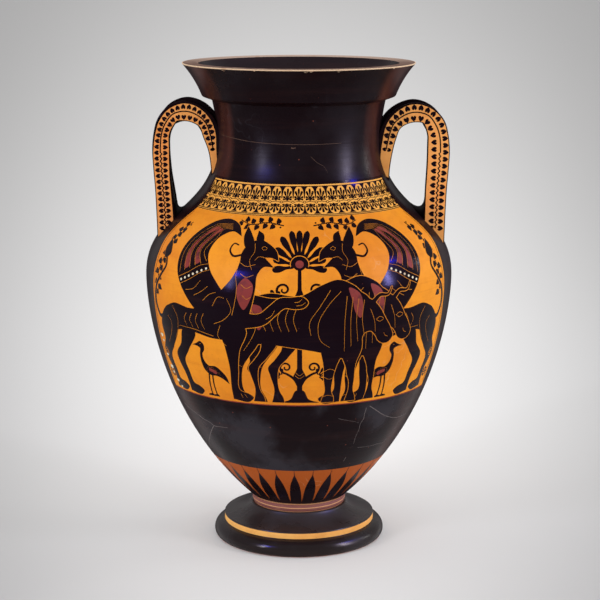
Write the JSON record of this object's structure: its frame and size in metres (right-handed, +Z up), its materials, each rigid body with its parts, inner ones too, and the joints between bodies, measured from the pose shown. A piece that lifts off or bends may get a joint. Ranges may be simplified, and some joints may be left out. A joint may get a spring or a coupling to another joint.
{
  "type": "terracotta amphora",
  "caption": "Large storage jar of fired clay with a wide flaring mouth, an ovoid body, upright flanged handles and a stepped disc foot.",
  "frame": {"origin": "centre of the foot's resting face", "axes": "+Z up the vase's axis, handles along X, front of the vase towards -Y"},
  "size_m": [0.3966, 0.3966, 0.625],
  "materials": {
    "black_gloss": "glossy black slip, fired, thin and brownish in places",
    "fired_clay": "burnished orange-red fired clay with a slight sheen",
    "purple_slip": "matt purple-brown slip over the gloss"
  },
  "bodies": {
    "root": {"foot": "black_gloss", "foot_collar": "purple_slip", "body_lower": "black_gloss", "body_upper": "fired_clay", "neck": "black_gloss", "mouth": "black_gloss", "handle_left_strap": "black_gloss", "handle_left_front_flange": "fired_clay", "handle_left_back_flange": "fired_clay", "handle_right_strap": "black_gloss", "handle_right_front_flange": "fired_clay", "handle_right_back_flange": "fired_clay"}
  },
  "joints": []
}
